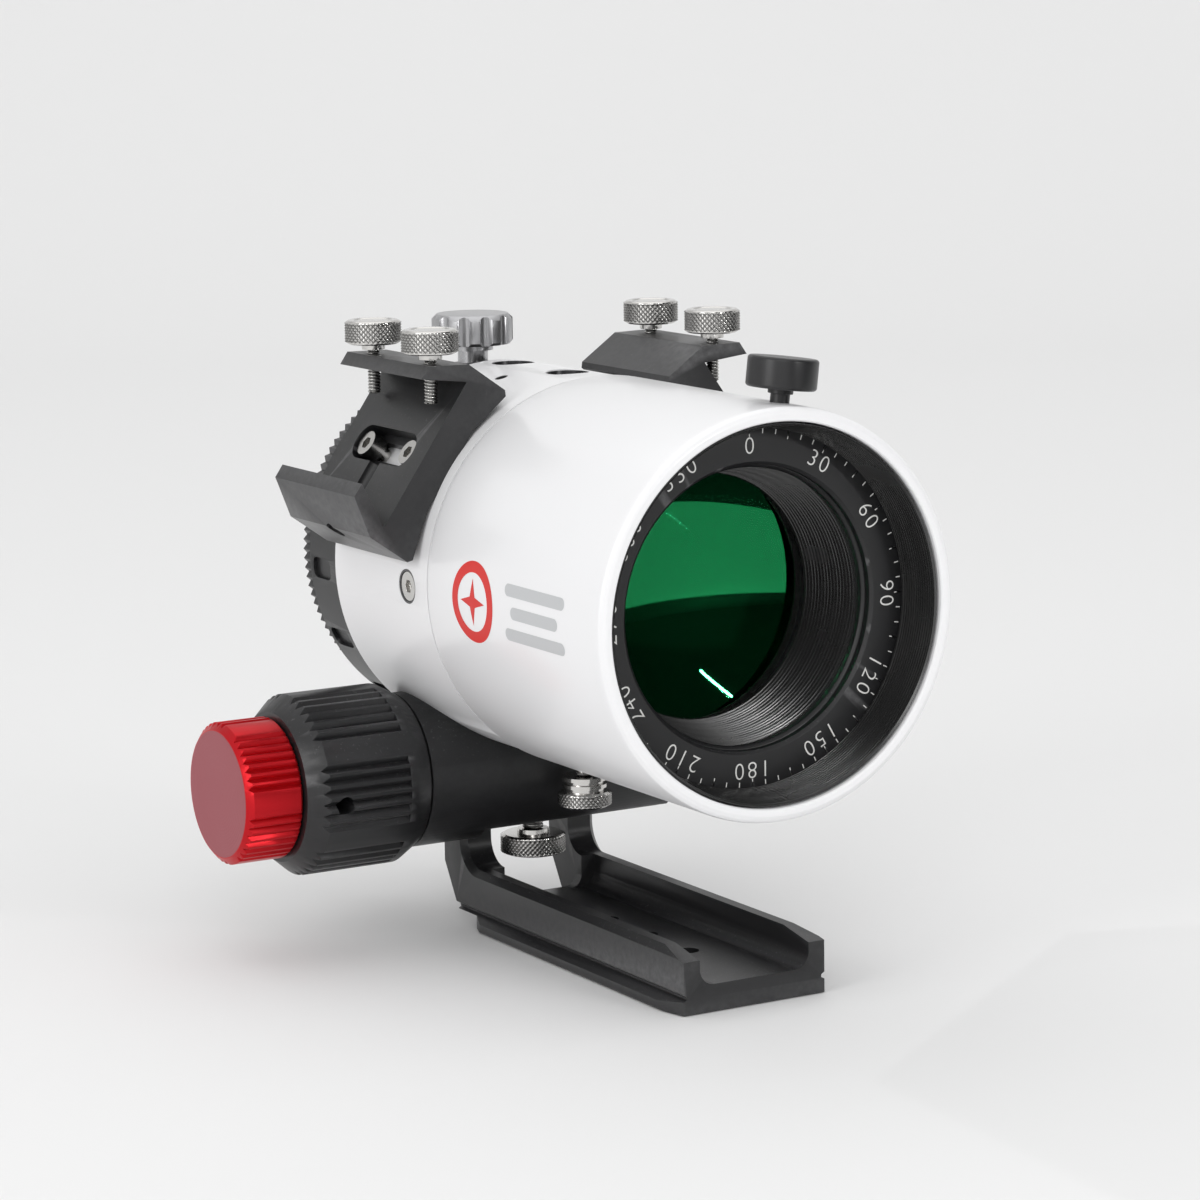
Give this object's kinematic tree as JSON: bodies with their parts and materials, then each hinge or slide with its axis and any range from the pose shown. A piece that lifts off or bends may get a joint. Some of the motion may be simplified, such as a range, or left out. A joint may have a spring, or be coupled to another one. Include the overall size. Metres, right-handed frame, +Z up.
{
  "type": "refractor telescope",
  "caption": "Short white astrograph refractor with a sliding dew shield, rack-and-pinion focuser with fine drive, camera rotator, finder shoes and a dovetail foot.",
  "frame": {"origin": "centre of the middle tapped hole, on the underside of the dovetail foot", "axes": "+Y along the optical axis towards the camera, so the telescope looks along -Y; +Z up, square to the foot's underside; focusing knobs on the -X side"},
  "size_m": [0.1338, 0.1416, 0.1364],
  "materials": {
    "white_paint": "semi-gloss",
    "black_anodised": "satin anodised",
    "printed_black": "satin anodised with white print",
    "matt_black": "matt",
    "red_anodised": "satin anodised",
    "clear_anodised": "fine bead blasted",
    "nickel_plate": "bright nickel",
    "black_steel": "black oxide",
    "stainless": "bright stainless",
    "ground_steel": "ground",
    "bronze": "machined",
    "guide_plastic": "plain",
    "coated_glass": "polished, green coating"
  },
  "bodies": {
    "base": {"foot": "black_anodised", "foot_screws": "black_steel", "focuser_housing": "black_anodised", "housing_end_cap": "black_anodised", "end_cap_screws": "black_steel", "left_shaft_bush": "bronze", "right_shaft_bush": "bronze", "reducer_race": "ground_steel", "pinion_cradle": "black_anodised", "main_tube": "white_paint", "tube_screws": "stainless", "front_guide_ring": "guide_plastic", "rear_guide_ring": "guide_plastic", "inner_barrel": "black_anodised", "lens_cell": "black_anodised", "cell_front_ring": "black_anodised", "name_ring": "printed_black", "baffle_clamp_ring": "black_anodised", "stepped_baffle": "matt_black", "objective_front_lens": "coated_glass", "objective_middle_lens": "coated_glass", "objective_rear_lens": "coated_glass", "lens_spacers": "matt_black", "lens_retaining_ring": "black_anodised", "left_finder_shoe": "black_anodised", "right_finder_shoe": "black_anodised", "left_shoe_screws": "stainless", "right_shoe_screws": "stainless"},
    "drawtube": {"drawtube": "black_anodised", "rack": "bronze", "rack_screws": "black_steel", "drawtube_baffle": "matt_black", "flattener_cell": "black_anodised", "flattener_front_lens": "coated_glass", "flattener_rear_lens": "coated_glass", "rotator_base": "black_anodised", "rotator_base_screws": "black_steel"},
    "rotator": {"rotator_ring": "black_anodised", "camera_adapter": "black_anodised"},
    "rotator_lock": {"rotator_lock_knob": "clear_anodised"},
    "coarse_drive": {"pinion_shaft": "ground_steel", "pinion": "ground_steel", "reducer_balls": "ground_steel", "coarse_knob": "black_anodised", "coarse_knob_set_screw": "black_steel"},
    "fine_drive": {"fine_shaft": "ground_steel", "fine_knob": "red_anodised"},
    "tension": {"tension_screw": "nickel_plate"},
    "focus_lock": {"focus_lock_screw": "nickel_plate"},
    "dew_shield": {"dew_shield": "white_paint"},
    "dew_shield_lock": {"dew_shield_lock_knob": "black_anodised"},
    "left_front_clamp": {"left_front_clamp_screw": "nickel_plate"},
    "left_rear_clamp": {"left_rear_clamp_screw": "nickel_plate"},
    "right_front_clamp": {"right_front_clamp_screw": "nickel_plate"},
    "right_rear_clamp": {"right_rear_clamp_screw": "nickel_plate"}
  },
  "joints": [
    {"name": "focus_slide", "type": "slide", "parent": "base", "child": "drawtube", "axis": [0, 1, 0], "range_m": [0, 0.015]},
    {"name": "coarse_turn", "type": "hinge", "parent": "base", "child": "coarse_drive", "pos_m": [0, 0.0506, 0.037], "axis": [-1, 0, 0], "range_deg": [0, 144]},
    {"name": "fine_turn", "type": "hinge", "parent": "base", "child": "fine_drive", "pos_m": [0, 0.0506, 0.037], "axis": [-1, 0, 0], "range_deg": [0, 1440]},
    {"name": "rotator_turn", "type": "hinge", "parent": "drawtube", "child": "rotator", "pos_m": [0, 0.0776, 0.0827], "axis": [0, 1, 0], "continuous": true},
    {"name": "rotator_lock_turn", "type": "hinge", "parent": "drawtube", "child": "rotator_lock", "pos_m": [0, 0.0731, 0.125], "axis": [0, 0, 1], "range_deg": [0, 495]},
    {"name": "tension_turn", "type": "hinge", "parent": "base", "child": "tension", "pos_m": [0, 0.0496, 0.016], "axis": [0, 0, -1], "range_deg": [0, 495]},
    {"name": "focus_lock_turn", "type": "hinge", "parent": "base", "child": "focus_lock", "pos_m": [0, 0.0261, 0.031], "axis": [0, 0, -1], "range_deg": [0, 495]},
    {"name": "dew_shield_slide", "type": "slide", "parent": "base", "child": "dew_shield", "axis": [0, -1, 0], "range_m": [0, 0.055]},
    {"name": "dew_shield_lock_turn", "type": "hinge", "parent": "dew_shield", "child": "dew_shield_lock", "pos_m": [0.00548, -0.0454, 0.12737], "axis": [0.1219, 0, 0.9925], "range_deg": [0, 495]},
    {"name": "left_front_clamp_turn", "type": "hinge", "parent": "base", "child": "left_front_clamp", "pos_m": [-0.0352, 0.0276, 0.13], "axis": [0, 0, 1], "range_deg": [0, 855]},
    {"name": "left_rear_clamp_turn", "type": "hinge", "parent": "base", "child": "left_rear_clamp", "pos_m": [-0.0352, 0.0536, 0.13], "axis": [0, 0, 1], "range_deg": [0, 855]},
    {"name": "right_front_clamp_turn", "type": "hinge", "parent": "base", "child": "right_front_clamp", "pos_m": [0.0352, 0.0276, 0.13], "axis": [0, 0, 1], "range_deg": [0, 855]},
    {"name": "right_rear_clamp_turn", "type": "hinge", "parent": "base", "child": "right_rear_clamp", "pos_m": [0.0352, 0.0536, 0.13], "axis": [0, 0, 1], "range_deg": [0, 855]}
  ],
  "couplings": [
    {"joint": "coarse_turn", "follows": "focus_slide", "rad_per_m": 166.67},
    {"joint": "fine_turn", "follows": "focus_slide", "rad_per_m": 1666.7}
  ]
}
